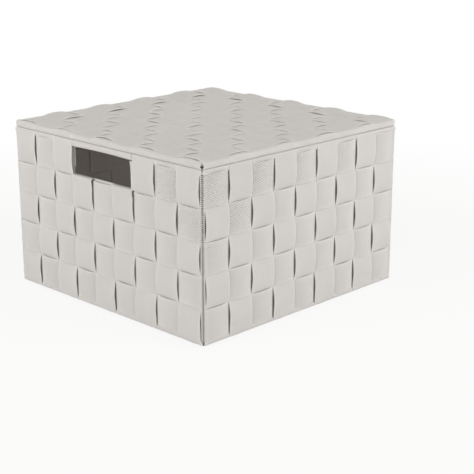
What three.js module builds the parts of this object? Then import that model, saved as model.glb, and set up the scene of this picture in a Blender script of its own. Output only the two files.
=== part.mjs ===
// A square lidded box of wide flat straps, woven over and under on a bent wire frame.
// Millimetres, +Z up. The origin is the middle of the underside. The two handle holes are in
// the front (-Y) and rear (+Y) faces.

import * as THREE from 'three';

// Straps
const STRAP_T = 0.8; // thickness of every strap
const STRAP_W = 24.2; // width of the straps that climb the sides and cross the lid
const HOOP_W = 25.6; // width of the straps that go round the sides
const RELIEF = 1.7; // how far a strap's middle swings over and under the weave plane
const WEAVE_OUT = 1.6; // weave plane outside the line of the frame wires

// Weave counts
const COLUMNS = 9; // straps in each direction
const ROWS = 5; // hoops, one above the other
const HANDLE_COLUMNS = 3; // straps cut short at each handle hole

// Clearances
const CLEAR = 0.3; // between things that touch
const COLUMN_SLACK = 0.3; // slit beside a climbing strap, past its own thickness
const ROW_SLACK = 0.575; // slit above a hoop, past its own thickness
const EDGE_CLEAR = 0.4; // outermost strap edge to the wraps on the next side
const LID_PLAY = 1; // sideways play of the lid's locating hooks in the mouth

// Wires
const FRAME_WIRE_R = 1.5; // rim, base, lid frame and corner posts
const FRAME_BEND_R = 2.5; // centreline bend at the frame corners
const LOCATING_WIRE_R = 1.25;
const LOCATING_BEND_R = 12;

// Hems and keepers
const RIM_TAIL = 21; // strap end inside, below the rim wire's centre
const HANDLE_TAIL = 20; // strap end inside, below the handle hole
const HOOP_TAIL = 20; // end of the split hoop, folded back beside the handle hole
const LID_TAIL = 22; // strap end under the lid, in from the lid wire's centre
const KEEPER_W = 12;
const KEEPER_FLANGE = 6;

// Sizes that follow
const HALF_T = STRAP_T / 2;
const COLUMN_PITCH = STRAP_W + STRAP_T + COLUMN_SLACK;
const ROW_PITCH = HOOP_W + STRAP_T + ROW_SLACK;
const MIDDLE = (COLUMNS - 1) / 2;
const FIELD_HALF = (COLUMN_PITCH * (COLUMNS - 1) + STRAP_W) / 2;
const WRAP_MID = FRAME_WIRE_R + CLEAR + HALF_T; // strap middle, wrapped round a frame wire
const WRAP_OUT = WRAP_MID + HALF_T;
const WIRE_HALF = FIELD_HALF + EDGE_CLEAR + WRAP_OUT;
const POST_HALF = FIELD_HALF + EDGE_CLEAR + FRAME_WIRE_R;
const OVER = WEAVE_OUT + RELIEF; // strap middle outside the wire line where it passes over
const UNDER = WEAVE_OUT - RELIEF; // and where it passes under
const TAIL = STRAP_T + CLEAR - UNDER; // strap end inside the wire line, behind the weave
const LOW_TAIL = TAIL + STRAP_T + CLEAR; // strap end that lies under another strap's end
const HOOP_HEM = WRAP_OUT; // folded hoop end inside the wire line
const HOOP_FOLD = (UNDER + HOOP_HEM) / 2; // radius of that fold

const BASE_Z = OVER + HALF_T;
const HOOPS_BOTTOM = BASE_Z + FRAME_WIRE_R + CLEAR;
const HOOPS_TOP = HOOPS_BOTTOM + ROW_PITCH * (ROWS - 1) + HOOP_W;
const RIM_Z = HOOPS_TOP + CLEAR + FRAME_WIRE_R;
const LID_Z = RIM_Z + WRAP_OUT + CLEAR + WRAP_OUT;
const HANDLE_BOTTOM = HOOPS_TOP - ROW_PITCH; // top edge of the hoop under the handle hole
const HANDLE_HALF = COLUMN_PITCH * (HANDLE_COLUMNS + 1) / 2 - STRAP_W / 2;

// Places of the straps
const columnAt = (column) => (column - MIDDLE) * COLUMN_PITCH;
const rowAt = (row) => HOOPS_TOP - HOOP_W / 2 - row * ROW_PITCH;
const isCutAtHandle = (column) => Math.abs(column - MIDDLE) <= (HANDLE_COLUMNS - 1) / 2;

// Materials
const strapMaterial = () => new THREE.MeshStandardMaterial({
  color: 0xcdcac4, roughness: 0.72, metalness: 0,
});
const wireMaterial = () => new THREE.MeshStandardMaterial({
  color: 0x8f8d89, roughness: 0.35, metalness: 1,
});

// Stations. A strap is a line of stations in one plane, each a middle point and the direction
// to its outer face. The outline of the strap's edge is the line moved half a thickness to
// each side.

const station = (x, y, nx, ny) => ({ x, y, nx, ny });

const CORNER_STEP = Math.PI / 4; // one facet of a strap bent round a wire

// Stations on an arc from one angle to another, both in eighths of a turn.
function bend(centreX, centreY, radius, fromEighth, toEighth) {
  const stations = [];
  const turn = Math.sign(toEighth - fromEighth);
  for (let eighth = fromEighth; eighth !== toEighth + turn; eighth += turn) {
    const angle = eighth * CORNER_STEP;
    const nx = Math.cos(angle);
    const ny = Math.sin(angle);
    stations.push(station(centreX + radius * nx, centreY + radius * ny, nx, ny));
  }
  return stations;
}

// A flat run that lies `level` from a wire's line meets the bend round that wire along a slope
// of 45 degrees. A level outside the bend leaves it at its tangent, and one inside it leaves
// the bend an eighth of a turn later. `reach` is how far from the wire the flat run starts.
function leave(level) {
  if (level >= WRAP_MID) {
    return { reach: level - WRAP_MID, eighths: 0 };
  }
  return { reach: WRAP_MID * Math.SQRT2 - level, eighths: 1 };
}

// Stations where a strap changes from one level to the next at each boundary of the weave,
// along a slope of 45 degrees. `place` turns a distance along and a level into a station.
function weave(levels, boundaryAt, direction, place) {
  const stations = [];
  for (let cell = 0; cell + 1 < levels.length; cell += 1) {
    const boundary = boundaryAt(cell);
    const half = Math.abs(levels[cell] - levels[cell + 1]) / 2;
    stations.push(place(boundary - direction * half, levels[cell]));
    stations.push(place(boundary + direction * half, levels[cell + 1]));
  }
  return stations;
}

// The closed outline of an open line of stations.
function openOutline(stations) {
  const side = (sign) => stations.map(({ x, y, nx, ny }) => new THREE.Vector2(
    x + sign * HALF_T * nx,
    y + sign * HALF_T * ny,
  ));
  return new THREE.Shape([...side(1), ...side(-1).reverse()]);
}

// The outline of a closed line of stations, with the inner face as its hole.
function ringOutline(stations) {
  const side = (sign) => stations.map(({ x, y, nx, ny }) => new THREE.Vector2(
    x + sign * HALF_T * nx,
    y + sign * HALF_T * ny,
  ));
  const shape = new THREE.Shape(side(1));
  shape.holes.push(new THREE.Path(side(-1).reverse()));
  return shape;
}

// An outline carried across the strap's width, with its middle at zero.
function strapGeometry(outline, width) {
  const geometry = new THREE.ExtrudeGeometry(outline, { depth: width, bevelEnabled: false });
  geometry.translate(0, 0, -width / 2);
  return geometry;
}

// Turns a strap drawn in (along, up) so that it stands in the X-Z or the Y-Z plane.
const ALONG_X = new THREE.Matrix4().makeBasis(
  new THREE.Vector3(1, 0, 0), new THREE.Vector3(0, 0, 1), new THREE.Vector3(0, -1, 0),
);
const ALONG_Y = new THREE.Matrix4().makeBasis(
  new THREE.Vector3(0, 1, 0), new THREE.Vector3(0, 0, 1), new THREE.Vector3(1, 0, 0),
);

const box = new THREE.Group();
const lid = new THREE.Group();
box.add(lid);

function addMesh(parent, name, geometry, material) {
  const mesh = new THREE.Mesh(geometry, material);
  mesh.name = name;
  parent.add(mesh);
  return mesh;
}

// Weave pattern. Every strap alternates over and under, and the pattern runs on unbroken from
// face to face, round the corners and across the underside.
const isEven = (number) => number % 2 === 0;
const level = (isOver) => (isOver ? OVER : UNDER);
const climbsOutside = {
  x: (column, row) => !isEven(column + row),
  y: (column, row) => isEven(column + row),
};
const isBelow = {
  x: (column, other) => isEven(column + other),
  y: (column, other) => !isEven(column + other),
};
const isOnTop = {
  x: (column, other) => isEven(column + other),
  y: (column, other) => !isEven(column + other),
};

// The end of a climbing strap that goes over the rim wire and down inside.
function rimEnd(firstLevel) {
  const inside = leave(TAIL);
  const outside = leave(firstLevel);
  return [
    station(WIRE_HALF - TAIL, RIM_Z - RIM_TAIL, -1, 0),
    station(WIRE_HALF - TAIL, RIM_Z - inside.reach, -1, 0),
    ...bend(WIRE_HALF, RIM_Z, WRAP_MID, 4 + inside.eighths, -outside.eighths),
    station(WIRE_HALF + firstLevel, RIM_Z - outside.reach, 1, 0),
  ];
}

// The end of a climbing strap that stops at a handle hole: folded inwards, over the top edge of
// the hoop under the hole where it passes outside that hoop.
function handleEnd(firstLevel) {
  const outerX = WIRE_HALF + firstLevel;
  const innerX = WIRE_HALF - TAIL;
  const radius = Math.min((outerX - innerX) / 2, HALF_T + CLEAR);
  const hasFlatTop = outerX - innerX > 2 * (HALF_T + CLEAR);
  return [
    station(innerX, HANDLE_BOTTOM - HANDLE_TAIL, -1, 0),
    ...bend(innerX + radius, HANDLE_BOTTOM, radius, 4, 2),
    ...bend(outerX - radius, HANDLE_BOTTOM, radius, hasFlatTop ? 2 : 1, 0),
  ];
}

// One side of a climbing strap, from its end inside down to the underside. The strap's plane
// is (outwards, up).
function climbingSide(axis, column, firstUnderLevel) {
  const isCut = axis === 'y' && isCutAtHandle(column);
  const topRow = isCut ? 1 : 0;
  const levels = [];
  for (let row = topRow; row < ROWS; row += 1) {
    levels.push(level(climbsOutside[axis](column, row)));
  }
  const boundaryAt = (cell) => rowAt(topRow + cell) - ROW_PITCH / 2;
  const place = (z, out) => station(WIRE_HALF + out, z, 1, 0);
  const bottomLevel = levels[levels.length - 1];
  const above = leave(bottomLevel);
  const below = leave(firstUnderLevel);
  return [
    ...(isCut ? handleEnd(levels[0]) : rimEnd(levels[0])),
    ...weave(levels, boundaryAt, -1, place),
    station(WIRE_HALF + bottomLevel, BASE_Z + above.reach, 1, 0),
    ...bend(WIRE_HALF, BASE_Z, WRAP_MID, above.eighths, -2 - below.eighths),
    station(WIRE_HALF - below.reach, BASE_Z - firstUnderLevel, 0, -1),
  ];
}

// The levels of a strap in each of its cells across the underside or the lid.
function panelLevels(pattern, column) {
  return Array.from({ length: COLUMNS }, (_, other) => level(pattern(column, other)));
}

const panelBoundary = (cell) => columnAt(cell) + COLUMN_PITCH / 2;
const mirror = ({ x, y, nx, ny }) => station(-x, y, -nx, ny);

// A strap that climbs one side, crosses the underside and climbs the opposite side.
function climbingStrap(axis, column) {
  const levels = panelLevels(isBelow[axis], column);
  const place = (along, out) => station(along, BASE_Z - out, 0, -1);
  const near = climbingSide(axis, column, levels[0]);
  const far = climbingSide(axis, column, levels[COLUMNS - 1]);
  return strapGeometry(openOutline([
    ...near.map(mirror),
    ...weave(levels, panelBoundary, 1, place),
    ...far.reverse(),
  ]), STRAP_W);
}

// A strap across the lid, wrapped round the lid wire at both ends, with its ends turned in
// underneath. The ends of the Y straps lie under those of the X straps.
function lidStrap(axis, column) {
  const tail = axis === 'x' ? TAIL : LOW_TAIL;
  const levels = panelLevels(isOnTop[axis], column);
  const inside = leave(tail);
  const end = (panelLevel) => {
    const outside = leave(panelLevel);
    return [
      station(WIRE_HALF - LID_TAIL, LID_Z - tail, 0, -1),
      station(WIRE_HALF - inside.reach, LID_Z - tail, 0, -1),
      ...bend(WIRE_HALF, LID_Z, WRAP_MID, -2 - inside.eighths, 2 + outside.eighths),
      station(WIRE_HALF - outside.reach, LID_Z + panelLevel, 0, 1),
    ];
  };
  const place = (along, out) => station(along, LID_Z + out, 0, 1);
  return strapGeometry(openOutline([
    ...end(levels[0]).map(mirror),
    ...weave(levels, panelBoundary, 1, place),
    ...end(levels[COLUMNS - 1]).reverse(),
  ]), STRAP_W);
}

// Hoops, drawn in plan. Each side is worked out as if it were the front one, with its outside
// towards -Y, and is then turned by quarters.
function turnQuarters({ x, y, nx, ny }, quarters) {
  const angle = quarters * Math.PI / 2;
  const cos = Math.cos(angle);
  const sin = Math.sin(angle);
  return station(x * cos - y * sin, x * sin + y * cos, nx * cos - ny * sin, nx * sin + ny * cos);
}

const hoopPlace = (along, out) => station(along, -(WIRE_HALF + out), 0, -1);
const POST_LINE = WIRE_HALF - POST_HALF; // wire line outside the line of the corner posts

function hoopLevels(quarter, row) {
  const climbing = isEven(quarter) ? climbsOutside.y : climbsOutside.x;
  return Array.from({ length: COLUMNS }, (_, column) => level(!climbing(column, row)));
}

// The bend round the corner post between one side's last cell and the next side's first.
function hoopCorner(lastLevel, nextLevel) {
  const before = leave(POST_LINE + lastLevel);
  const after = leave(POST_LINE + nextLevel);
  return [
    hoopPlace(POST_HALF - before.reach, lastLevel),
    ...bend(POST_HALF, -POST_HALF, WRAP_MID, -2 - before.eighths, after.eighths),
    turnQuarters(hoopPlace(-(POST_HALF - after.reach), nextLevel), 1),
  ];
}

// A whole hoop, closed on itself.
function hoop(row) {
  const stations = [];
  for (let quarter = 0; quarter < 4; quarter += 1) {
    const levels = hoopLevels(quarter, row);
    const next = hoopLevels(quarter + 1, row);
    const side = [
      ...weave(levels, panelBoundary, 1, hoopPlace),
      ...hoopCorner(levels[COLUMNS - 1], next[0]),
    ];
    stations.push(...side.map((one) => turnQuarters(one, quarter)));
  }
  return strapGeometry(ringOutline(stations), HOOP_W);
}

// The right half of the top hoop, from the front handle hole round the right side to the rear
// one. Each end passes behind the strap beside the hole, turns in round that strap's end and
// lies back against it. The left half is the same piece turned half round.
function splitHoop() {
  const firstColumn = MIDDLE + (HANDLE_COLUMNS + 1) / 2;
  const front = hoopLevels(0, 0).slice(firstColumn);
  const side = hoopLevels(1, 0);
  const rear = hoopLevels(2, 0).slice(0, COLUMNS - firstColumn);
  const foldOut = front[0] - HOOP_FOLD;
  const foldedEnd = [
    station(HANDLE_HALF + HOOP_TAIL, -(WIRE_HALF - HOOP_HEM), 0, 1),
    ...bend(HANDLE_HALF, -(WIRE_HALF + foldOut), HOOP_FOLD, 2, 6),
  ];
  const frontSide = [
    ...foldedEnd,
    ...weave(front, (cell) => panelBoundary(firstColumn + cell), 1, hoopPlace),
    ...hoopCorner(front[front.length - 1], side[0]),
  ];
  const rightSide = [
    ...weave(side, panelBoundary, 1, hoopPlace),
    ...hoopCorner(side[COLUMNS - 1], rear[0]),
  ];
  const rearSide = [
    ...weave(rear, panelBoundary, 1, hoopPlace),
    ...foldedEnd.map(mirror).reverse(),
  ];
  return strapGeometry(openOutline([
    ...frontSide,
    ...rightSide.map((one) => turnQuarters(one, 1)),
    ...rearSide.map((one) => turnQuarters(one, 2)),
  ]), HOOP_W);
}

// Wires
const WIRE_SIDES = 10;
const BEND_STEPS = 3; // facets of a wire bent through a corner

// A round wire bent into a square ring: a circle of points carried round the centreline.
function wireRing(half, bendRadius, radius) {
  const positions = [];
  const index = [];
  const rings = 4 * (BEND_STEPS + 1);
  for (let ring = 0; ring < rings; ring += 1) {
    const quarter = Math.floor(ring / (BEND_STEPS + 1));
    const step = ring % (BEND_STEPS + 1);
    const angle = (quarter + step / BEND_STEPS) * Math.PI / 2;
    const cornerAngle = (quarter + 0.5) * Math.PI / 2;
    const centreX = Math.sign(Math.cos(cornerAngle)) * (half - bendRadius);
    const centreY = Math.sign(Math.sin(cornerAngle)) * (half - bendRadius);
    for (let side = 0; side < WIRE_SIDES; side += 1) {
      const round = side / WIRE_SIDES * Math.PI * 2;
      const out = bendRadius + radius * Math.cos(round);
      positions.push(
        centreX + out * Math.cos(angle),
        centreY + out * Math.sin(angle),
        radius * Math.sin(round),
      );
      const here = ring * WIRE_SIDES;
      const next = ((ring + 1) % rings) * WIRE_SIDES;
      const beside = (side + 1) % WIRE_SIDES;
      index.push(here + side, next + side, next + beside);
      index.push(here + side, next + beside, here + beside);
    }
  }
  const geometry = new THREE.BufferGeometry();
  geometry.setAttribute('position', new THREE.Float32BufferAttribute(positions, 3));
  geometry.setIndex(index);
  geometry.computeVertexNormals();
  return geometry;
}

function cornerPost() {
  const length = HOOPS_TOP - HOOPS_BOTTOM;
  const geometry = new THREE.CylinderGeometry(FRAME_WIRE_R, FRAME_WIRE_R, length, WIRE_SIDES);
  geometry.rotateX(Math.PI / 2);
  return geometry;
}

// A strap folded lengthwise round the rim wire above a handle hole: a sleeve with a bore. It
// ends short of the folded hoop ends.
function handleWrap() {
  const circle = (radius) => Array.from({ length: WIRE_SIDES }, (_, side) => {
    const angle = side / WIRE_SIDES * Math.PI * 2;
    return new THREE.Vector2(radius * Math.cos(angle), radius * Math.sin(angle));
  });
  const outline = new THREE.Shape(circle(WRAP_OUT));
  outline.holes.push(new THREE.Path(circle(WRAP_OUT - STRAP_T).reverse()));
  return strapGeometry(outline, (HANDLE_HALF - HOOP_FOLD - HALF_T - CLEAR) * 2);
}

// The locating wire lies under the lid straps' ends, and fits the mouth of the box.
const HOOK_MID = LOCATING_WIRE_R + CLEAR + HALF_T;
const LOCATING_HALF = WIRE_HALF - HOOP_HEM - HALF_T - LID_PLAY - HOOK_MID - HALF_T;
const LOCATING_Z = LID_Z - LOW_TAIL - HALF_T - CLEAR - LOCATING_WIRE_R;

// A keeper is a short strap stitched under a lid strap's end and hooked round the wire.
function keeper(tail) {
  const flangeZ = LID_Z - tail - STRAP_T - CLEAR;
  const innerX = LOCATING_HALF - HOOK_MID;
  const geometry = strapGeometry(openOutline([
    station(innerX - KEEPER_FLANGE, flangeZ, 0, -1),
    station(innerX, flangeZ, -1, -1),
    ...bend(LOCATING_HALF, LOCATING_Z, HOOK_MID, 4, 8),
  ]), KEEPER_W);
  geometry.applyMatrix4(ALONG_X);
  return geometry;
}

// Frame
const rimWire = wireRing(WIRE_HALF, FRAME_BEND_R, FRAME_WIRE_R);
addMesh(box, 'base_wire', rimWire, wireMaterial()).position.z = BASE_Z;
addMesh(box, 'rim_wire', rimWire, wireMaterial()).position.z = RIM_Z;
addMesh(lid, 'lid_wire', rimWire, wireMaterial()).position.z = LID_Z;
const corners = [[-1, -1], [1, -1], [1, 1], [-1, 1]];
corners.forEach(([sideX, sideY], corner) => {
  addMesh(box, `corner_post_${corner + 1}`, cornerPost(), wireMaterial()).position.set(
    sideX * POST_HALF, sideY * POST_HALF, (HOOPS_TOP + HOOPS_BOTTOM) / 2,
  );
});

// Straps that climb the sides, and the lid's straps above them
for (const axis of ['x', 'y']) {
  const stand = axis === 'x' ? ALONG_X : ALONG_Y;
  for (let column = 0; column < COLUMNS; column += 1) {
    const across = columnAt(column);
    const makers = [[box, 'body', climbingStrap], [lid, 'lid', lidStrap]];
    for (const [parent, place, make] of makers) {
      const name = `${place}_strap_${axis}${column + 1}`;
      const mesh = addMesh(parent, name, make(axis, column), strapMaterial());
      mesh.setRotationFromMatrix(stand);
      mesh.position.set(axis === 'y' ? across : 0, axis === 'x' ? across : 0, 0);
    }
  }
}

// Hoops, from the second row down, and the split one in the top row
for (let row = 1; row < ROWS; row += 1) {
  addMesh(box, `hoop_${row + 1}`, hoop(row), strapMaterial()).position.z = rowAt(row);
}
['right', 'left'].forEach((side, half) => {
  const mesh = addMesh(box, `hoop_1_${side}`, splitHoop(), strapMaterial());
  mesh.rotation.z = half * Math.PI;
  mesh.position.z = rowAt(0);
});

// Handle wraps
[['front', -1], ['rear', 1]].forEach(([name, side]) => {
  const mesh = addMesh(box, `handle_wrap_${name}`, handleWrap(), strapMaterial());
  mesh.setRotationFromMatrix(ALONG_Y);
  mesh.position.set(0, side * WIRE_HALF, RIM_Z);
});

// Locating wire and its keepers, one in the middle of each side of the lid
const locatingWire = wireRing(LOCATING_HALF, LOCATING_BEND_R, LOCATING_WIRE_R);
addMesh(lid, 'lid_locating_wire', locatingWire, wireMaterial()).position.z = LOCATING_Z;
['right', 'rear', 'left', 'front'].forEach((side, quarter) => {
  const tail = isEven(quarter) ? TAIL : LOW_TAIL;
  const mesh = addMesh(lid, `lid_keeper_${side}`, keeper(tail), strapMaterial());
  mesh.rotation.z = quarter * Math.PI / 2;
});

export default box;
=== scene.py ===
"""A square box woven from wide flat straps on a bent wire frame, with a woven lift-off lid.

Each strap is one surface: a line in the plane that the strap bends in, carried across the
strap's width. The lines come from the weave's over-and-under wave and from bends round wires.
"""

import math

import bpy
import numpy as np
from bpy.props import FloatProperty, FloatVectorProperty, PointerProperty
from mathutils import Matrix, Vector


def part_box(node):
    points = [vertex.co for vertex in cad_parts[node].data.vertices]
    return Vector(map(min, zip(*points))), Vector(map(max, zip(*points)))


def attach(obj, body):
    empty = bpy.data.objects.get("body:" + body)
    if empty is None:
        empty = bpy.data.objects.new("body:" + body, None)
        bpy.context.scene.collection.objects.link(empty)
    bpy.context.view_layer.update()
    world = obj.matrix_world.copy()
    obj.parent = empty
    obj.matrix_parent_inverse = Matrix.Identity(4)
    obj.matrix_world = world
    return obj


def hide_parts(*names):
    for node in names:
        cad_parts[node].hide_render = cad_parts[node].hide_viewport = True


bl_info = {
    "name": "Woven Strap Box",
    "version": (1, 0, 0),
    "blender": (4, 5, 0),
    "location": "View3D > Sidebar > Strap Box",
    "description": "Dresses a lidded box of woven straps on a wire frame",
    "category": "Add Mesh",
}

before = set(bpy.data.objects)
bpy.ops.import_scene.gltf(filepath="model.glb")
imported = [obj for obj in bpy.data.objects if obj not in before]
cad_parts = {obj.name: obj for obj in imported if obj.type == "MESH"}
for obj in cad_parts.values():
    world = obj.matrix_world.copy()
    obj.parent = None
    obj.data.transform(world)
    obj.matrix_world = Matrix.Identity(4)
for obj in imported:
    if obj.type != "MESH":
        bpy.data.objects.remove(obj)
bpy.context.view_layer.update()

MM = 0.001
COLUMNS = 9
ROWS = 5
MIDDLE = (COLUMNS - 1) / 2
HANDLE_COLUMNS = (3, 4, 5)
HOLE_END = HANDLE_COLUMNS[-1] + 1  # where the hand hole ends, in cells along the side

# Places read from the frame


def span(node):
    """Lowest and highest corner of a frame node, as arrays."""
    low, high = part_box(node)
    return np.array(low), np.array(high)


def middle(node):
    low, high = span(node)
    return (low + high) / 2


WIRE_RADIUS = 1.5 * MM
LOCATING_RADIUS = 1.25 * MM
RING_HALF = span("rim_wire")[1][0] - WIRE_RADIUS  # wire centreline, from the box's middle
LOCATING_HALF = span("lid_locating_wire")[1][0] - LOCATING_RADIUS
BASE_Z = middle("base_wire")[2]
RIM_Z = middle("rim_wire")[2]
LID_Z = middle("lid_wire")[2]
LOCATING_Z = middle("lid_locating_wire")[2]
ROW_PITCH = (middle("hoop_2")[2] - middle("hoop_5")[2]) / (ROWS - 2)
TOP_ROW_Z = middle("hoop_1_right")[2]
FACE_TOP = TOP_ROW_Z + ROW_PITCH / 2
HOLE_FOOT = span("body_strap_y4")[1][2]  # the fold under a handle hole


# Sizes and colours that a user would change


def length(name, description, millimetres):
    return FloatProperty(
        name=name, description=description, default=millimetres * MM, precision=5, unit="LENGTH",
    )


def tint(name, description, colour):
    return FloatVectorProperty(
        name=name, description=description, default=colour, size=3, min=0, max=1,
        subtype="COLOR",
    )


class StrapBoxSizes(bpy.types.PropertyGroup):
    """Sizes of the straps' finish."""

    thickness: length("Strap thickness", "Thickness of every strap", 0.8)
    column_pitch: length("Column pitch", "From one climbing strap's middle to the next", 25.72)
    climbing_width: length("Climbing width", "Width of the climbing and lid straps", 25.5)
    hoop_width: length("Hoop width", "Width of the straps that go round the sides", 26.5)
    side_level: length("Side level", "Crossing level outside the wires, on the sides", 1.1)
    side_bulge: length("Side bulge", "Outward bulge of a strap in its own cells", 2.05)
    side_dip: length("Side dip", "Dip of a strap behind the straps that cross it", 1.4)
    underside_relief: length("Underside relief", "Swing of a strap on the underside", 1.5)
    lid_level: length("Lid level", "Crossing level above the lid wire", 1.9)
    lid_relief: length("Lid relief", "Swing of a strap in the middle of the lid", 1.0)
    lid_rise: length("Lid rise", "Extra height of the lid's outermost cells", 0.4)
    rim_lift: length("Lid rim lift", "How far the outermost lid straps' edges stand up", 0.9)
    crease_depth: length("Corner crease", "Depth of the crease at a hoop's corner fold", 0.3)


class StrapBoxColours(bpy.types.PropertyGroup):
    """Colours of the finishes, in linear light."""

    strap: tint("Strap", "Colour of the straps", (0.640, 0.624, 0.616))
    # The crease colour is painted shade, mixed in where a hoop is folded hard round a corner.
    crease: tint("Crease", "Colour of the strap where it is folded hard", (0.15, 0.14, 0.125))
    wire: tint("Wire", "Colour of the frame wire", (0.36, 0.35, 0.335))


# Lines in a strap's plane. Every line is an array of points, one row each.

SQUARENESS = 0.77
SEAM_SQUARENESS = 0.47  # where two rolls of strap press on each other
EASE_STEPS = 12
EASE_PULL = 0.38
FLIP = np.array([-1, 1])


def smooth_step(value, low, high):
    """Nought below low, one above high, and a smooth cubic between."""
    t = np.clip((value - low) / (high - low), 0, 1)
    return t * t * (3 - 2 * t)


def arc(centre, radius, start, end, steps):
    """Points at a fixed radius from a centre, from one angle to another, in degrees."""
    angle = np.radians(np.linspace(start, end, steps))
    return np.stack([
        centre[0] + radius * np.cos(angle),
        centre[1] + radius * np.sin(angle),
    ], axis=1)


def roll(centre, radius, start, end, steps, pressed):
    """An arc that is a little squarer than a circle, as a strap is when it is pressed on.

    A power under one is taken of the sine and the cosine, with their signs kept. It is lower
    in the quarter that is pressed from above, or from below if pressed is minus one.
    """
    turn = arc((0, 0), 1, start, end, steps)
    at_seam = (turn[:, :1] > 0) & (turn[:, 1:] * pressed > 0)
    power = np.where(at_seam, SEAM_SQUARENESS, SQUARENESS)
    return np.array(centre) + radius * np.sign(turn) * np.abs(turn) ** power


def line(start, end, steps):
    """Evenly spaced points from one point to another."""
    share = np.linspace(0, 1, steps)[:, None]
    return np.array(start) * (1 - share) + np.array(end) * share


def ease(before, after):
    """A cubic curve that leaves the end of one line and meets the start of the next.

    Its two inner control points lie along the lines' own headings, each at a share of the
    distance between the lines.
    """
    start, end = before[-1], after[0]
    reach = np.linalg.norm(end - start)
    leaving = before[-1] - before[-2]
    arriving = after[1] - after[0]
    first = start + leaving / np.linalg.norm(leaving) * reach * EASE_PULL
    second = end - arriving / np.linalg.norm(arriving) * reach * EASE_PULL
    t = np.linspace(0, 1, EASE_STEPS + 2)[1:-1, None]
    return (
        (1 - t) ** 3 * start + 3 * (1 - t) ** 2 * t * first
        + 3 * (1 - t) * t ** 2 * second + t ** 3 * end
    )


def joined(*lines):
    """Lines laid end to end, with an eased curve between each two."""
    parts = [lines[0]]
    for before, after in zip(lines, lines[1:]):
        parts += [ease(before, after), after]
    return np.concatenate(parts)


def mirrored(lines):
    """The same lines on the opposite side, in the opposite order of travel."""
    return [(part * FLIP)[::-1] for part in reversed(lines)]


def turned(path, quarter):
    """A line turned by quarter turns round the box's middle, anticlockwise from above."""
    turn = quarter * np.pi / 2
    matrix = np.array([[np.cos(turn), np.sin(turn)], [-np.sin(turn), np.cos(turn)]])
    return path @ matrix


def outward(path):
    """Unit normals of a line: its heading turned a quarter clockwise."""
    heading = np.gradient(path, axis=0)
    heading /= np.linalg.norm(heading, axis=1)[:, None]
    return np.stack([heading[:, 1], -heading[:, 0]], axis=1)


def travelled(path):
    """Distance along a line to each of its points."""
    steps = np.linalg.norm(np.diff(path, axis=0), axis=1)
    return np.concatenate([[0], np.cumsum(steps)])


def from_end(along):
    """Distance along a line from each point to the nearer end."""
    return np.minimum(along, along[-1] - along)


# The weave

WAVE_EDGE = 0.30  # how sudden the change of level is
WAVE_FLAT = 0.32  # share of the sides' wave that changes suddenly
CELL_STEPS = 14
CELL_MARGIN = 0.02  # from a run's end to its next point, in cells
RUN_INSET = 0.30  # where an eased curve takes over from the wave, in cells from the end


def wave(cell, flat=WAVE_FLAT):
    """The weave's height at a place counted in cells, plus one to minus one.

    A sine with half a turn in each cell, mixed with the same sine pressed flat by a
    hyperbolic tangent, so a strap changes level quickly at the edge of a cell and is gently
    domed across it. It is positive in even cells.
    """
    sine = np.sin(np.pi * cell)
    pressed = np.tanh(sine / WAVE_EDGE) / np.tanh(1 / WAVE_EDGE)
    return flat * pressed + (1 - flat) * sine


def side_out(place, sign, sizes):
    """How far the weave lies outside the wires on the sides.

    A line and a square of the wave's height, which meet the bulge at one and the dip at
    minus one.
    """
    height, bulge, dip = sign * wave(place), sizes.side_bulge, sizes.side_dip
    return sizes.side_level + ((bulge + dip) / 2 * height + (bulge - dip) / 2 * height ** 2)


def cells(first, last):
    """Places from one cell count to another, closer together at the cells' edges."""
    whole = np.arange(math.floor(first), math.ceil(last))
    share = (1 - np.cos(np.pi * np.arange(CELL_STEPS) / CELL_STEPS)) / 2
    places = (whole[:, None] + share[None, :]).ravel()
    inside = places[(places > first + CELL_MARGIN) & (places < last - CELL_MARGIN)]
    return np.concatenate([[first], inside, [last]])


def from_middle(cell, sizes):
    """How far a place counted in cells lies from the middle of a side."""
    return (cell - COLUMNS / 2) * sizes.column_pitch


def climbing_sign(axis, column, row):
    """One where a climbing strap lies outside a hoop, and minus one where it lies inside."""
    return 1 if (column + row) % 2 == (axis == "x") else -1


def panel_sign(axis, column):
    """The same at a strap's first crossing on the underside or the lid."""
    return 1 if column % 2 == (axis == "y") else -1


# Seeded differences from strap to strap

LEAN = 0.10 * MM
WANDER = 0.09 * MM
RIPPLE_RATES = (40, 95)  # radians per metre
LEAN_RIPPLE = (2.6, 0.9)  # how much quicker the second sine is, and its share
WANDER_RIPPLE = (2.3, 0.5)
FAR_EDGE = 1.7  # the other edge wanders as this one does so many metres further on
HOOP_FAR_EDGE = 2.1


def ripple(height, rates, phases, quicker, share):
    """A function of distance: a sine, and a share of a quicker sine."""
    return lambda s: height * (
        np.sin(rates[0] * s + phases[0]) + share * np.sin(quicker * rates[1] * s + phases[1])
    )


def variation(name):
    """How a strap leans and how its edges wander, as two functions of distance."""
    seed = sum(ord(letter) * (place + 1) for place, letter in enumerate(name))
    rng = np.random.default_rng(seed)
    phases = rng.uniform(0, 2 * np.pi, 4)
    rates = rng.uniform(*RIPPLE_RATES, 4)
    lean = ripple(LEAN, rates[[0, 3]], phases[[0, 3]], *LEAN_RIPPLE)
    wander = ripple(WANDER, rates[[1, 2]], phases[[1, 2]], *WANDER_RIPPLE)
    return lean, wander


# Surfaces

EDGE_STEPS = 5
FACE_STEPS = 11
BACK_STEPS = 7
EDGE_POWER = 10  # how narrow the pale edge is, partly worn and partly a painted highlight
UV_NAME = "Strap"


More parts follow.
